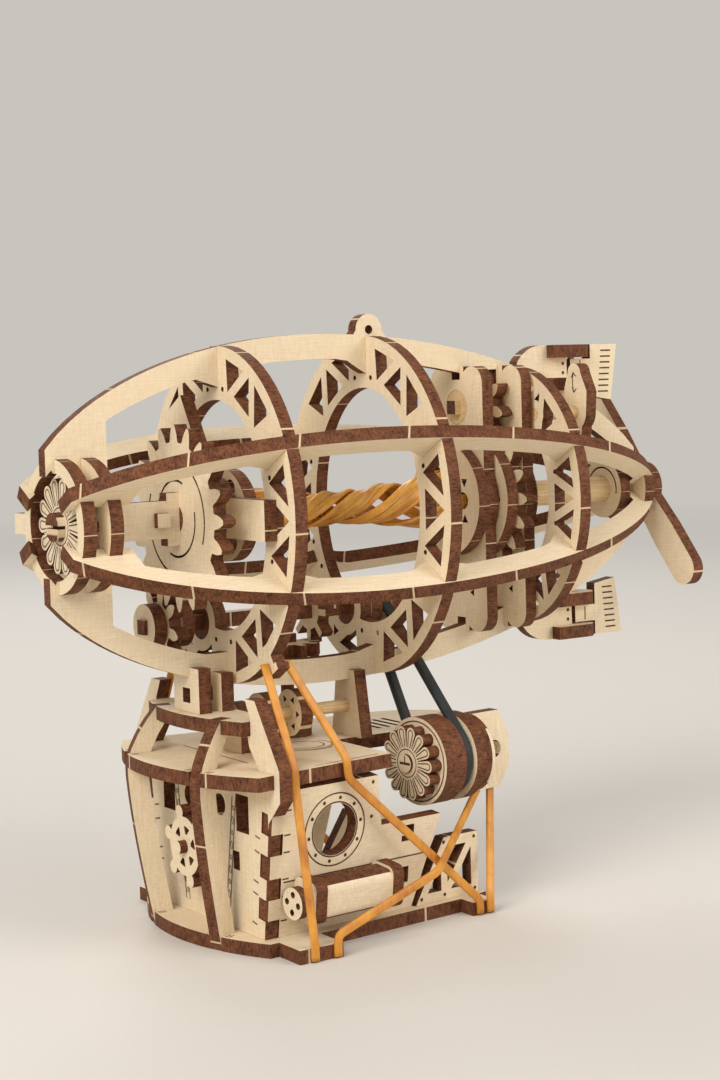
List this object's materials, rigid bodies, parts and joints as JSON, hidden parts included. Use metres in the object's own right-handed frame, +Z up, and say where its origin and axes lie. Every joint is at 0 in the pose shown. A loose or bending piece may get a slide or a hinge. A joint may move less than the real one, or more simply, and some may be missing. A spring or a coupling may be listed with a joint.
{
  "type": "airship model",
  "caption": "Rubber-powered plywood airship model: ribbed open envelope with gears, nose fan, tail propeller and rudders, held by bands over a boat-shaped gondola with a belt-driven turbine.",
  "frame": {"origin": "on the underside of the base plate, straight under the envelope's axis at its widest place", "axes": "+X from nose to tail, +Y to the far side, +Z up"},
  "size_m": [0.1632, 0.0732, 0.1328],
  "materials": {
    "birch_ply": "pale birch plywood, laser cut, with burnt edges",
    "birch_stick": "darker birch plywood sticks, axles and edge-on pieces",
    "amber_rubber": "amber latex, slightly glossy",
    "black_rubber": "matt black rubber cord"
  },
  "bodies": {
    "frame": {"front_ring": "birch_ply", "middle_ring": "birch_ply", "rear_ring": "birch_ply", "top_rib": "birch_ply", "bottom_rib": "birch_ply", "side_ribs": "birch_ply", "nose_ring": "birch_ply", "nose_bearing": "birch_ply", "front_bearing": "birch_ply", "gearbox_front": "birch_ply", "gearbox_back": "birch_ply", "tail_cap": "birch_ply", "top_fin": "birch_ply", "bottom_fin": "birch_ply", "pivot_pins": "birch_stick", "base_plate": "birch_ply", "main_roof": "birch_ply", "upper_deck": "birch_ply", "cockpit_ribs": "birch_stick", "bulkhead": "birch_ply", "near_wall": "birch_ply", "far_wall": "birch_ply", "stern_truss": "birch_ply", "cradle_plates": "birch_ply", "rear_post": "birch_ply", "hinge_plates": "birch_ply", "side_tanks": "birch_ply", "tank_straps": "birch_stick", "pod_bracket": "birch_ply", "valve_wheels": "birch_stick", "lashings": "amber_rubber", "drive_belt": "black_rubber"},
    "nose_rotor": {"nose_fan": "birch_ply", "nose_shaft": "birch_stick", "front_gear": "birch_ply", "front_hook": "birch_ply", "rubber_motor": "amber_rubber"},
    "rear_rotor": {"rear_hook": "birch_ply", "rear_disc": "birch_ply", "rear_gear": "birch_ply", "rear_axle": "birch_stick", "tail_disc": "birch_ply", "propeller": "birch_ply"},
    "upper_shaft": {"upper_axle": "birch_stick", "upper_pinion": "birch_ply"},
    "lower_shaft": {"lower_axle": "birch_stick", "front_pinion": "birch_ply", "shaft_collars": "birch_ply", "peg_wheel": "birch_ply", "upper_pulley": "birch_ply"},
    "crown": {"crown_wheel": "birch_ply"},
    "lever": {"stop_lever": "birch_ply"},
    "top_flap": {"top_rudder": "birch_ply"},
    "bottom_flap": {"bottom_rudder": "birch_ply"},
    "idler": {"idler_axle": "birch_stick", "spoked_wheel": "birch_ply"},
    "helm": {"helm_wheel": "birch_ply"},
    "turbine": {"turbine_fan": "birch_ply", "turbine_pulley": "birch_ply"}
  },
  "joints": [
    {"name": "nose_spin", "type": "hinge", "parent": "frame", "child": "nose_rotor", "pos_m": [-0.05, 0, 0.09], "axis": [1, 0, 0], "continuous": true},
    {"name": "rear_spin", "type": "hinge", "parent": "frame", "child": "rear_rotor", "pos_m": [0.06, 0, 0.09], "axis": [1, 0, 0], "continuous": true},
    {"name": "upper_spin", "type": "hinge", "parent": "frame", "child": "upper_shaft", "pos_m": [0.047, 0, 0.11116], "axis": [1, 0, 0], "continuous": true},
    {"name": "lower_spin", "type": "hinge", "parent": "frame", "child": "lower_shaft", "pos_m": [0, 0.01, 0.06626], "axis": [1, 0, 0], "continuous": true},
    {"name": "crown_spin", "type": "hinge", "parent": "frame", "child": "crown", "pos_m": [-0.0031, 0.01, 0.055], "axis": [0, 0, 1], "continuous": true},
    {"name": "turbine_spin", "type": "hinge", "parent": "frame", "child": "turbine", "pos_m": [0.0105, -0.017, 0.034], "axis": [0.9945, 0.1045, 0], "continuous": true},
    {"name": "idler_spin", "type": "hinge", "parent": "frame", "child": "idler", "pos_m": [0, 0, 0.0454], "axis": [1, 0, 0], "continuous": true},
    {"name": "helm_turn", "type": "hinge", "parent": "frame", "child": "helm", "pos_m": [-0.034, 0.002, 0.019], "axis": [1, 0, 0], "continuous": true},
    {"name": "lever_swing", "type": "hinge", "parent": "frame", "child": "lever", "pos_m": [0.0675, -0.0095, 0.109], "axis": [1, 0, 0], "range_deg": [-6, 28]},
    {"name": "top_flap_hinge", "type": "hinge", "parent": "frame", "child": "top_flap", "pos_m": [0.073, 0, 0.118], "axis": [0, 0, 1], "range_deg": [-25, 25]},
    {"name": "bottom_flap_hinge", "type": "hinge", "parent": "frame", "child": "bottom_flap", "pos_m": [0.073, 0, 0.062], "axis": [0, 0, 1], "range_deg": [-25, 25]}
  ],
  "couplings": [
    {"joint": "rear_spin", "follows": "nose_spin", "ratio": 1},
    {"joint": "upper_spin", "follows": "nose_spin", "ratio": -2.2857},
    {"joint": "lower_spin", "follows": "nose_spin", "ratio": -2.5},
    {"joint": "crown_spin", "follows": "nose_spin", "ratio": -2},
    {"joint": "turbine_spin", "follows": "nose_spin", "ratio": -1.0811}
  ]
}
